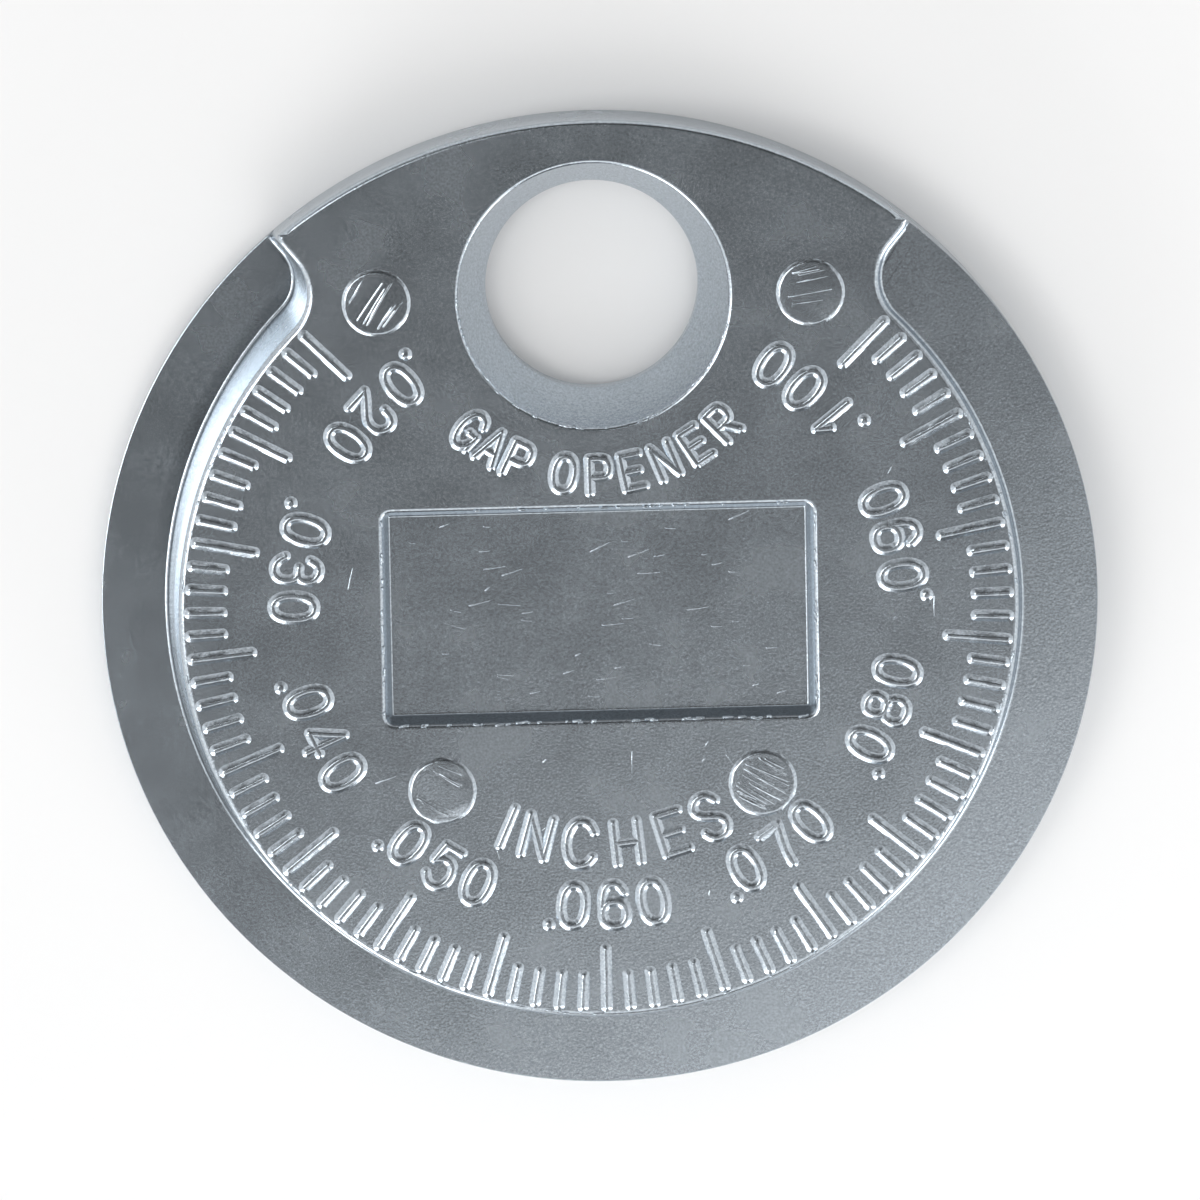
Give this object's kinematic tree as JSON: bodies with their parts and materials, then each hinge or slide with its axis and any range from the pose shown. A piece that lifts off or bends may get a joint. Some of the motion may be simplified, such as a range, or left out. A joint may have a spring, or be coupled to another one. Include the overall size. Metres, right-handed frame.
{
  "type": "spark plug gap gauge",
  "caption": "Coin-shaped spark plug gap gauge: a ramped rim that thickens round a dial of raised marks, with a sunk panel and a dished key ring hole.",
  "frame": {"origin": "centre of the disc on its plain back", "axes": "+Z out of the dial, +Y from the middle of the dial towards the key ring hole, +X to the right when the dial is read with the hole at the top"},
  "size_m": [0.0347, 0.0349, 0.003],
  "materials": {
    "plated_zinc": "satin"
  },
  "bodies": {
    "root": {"gauge_body": "plated_zinc"}
  },
  "joints": []
}
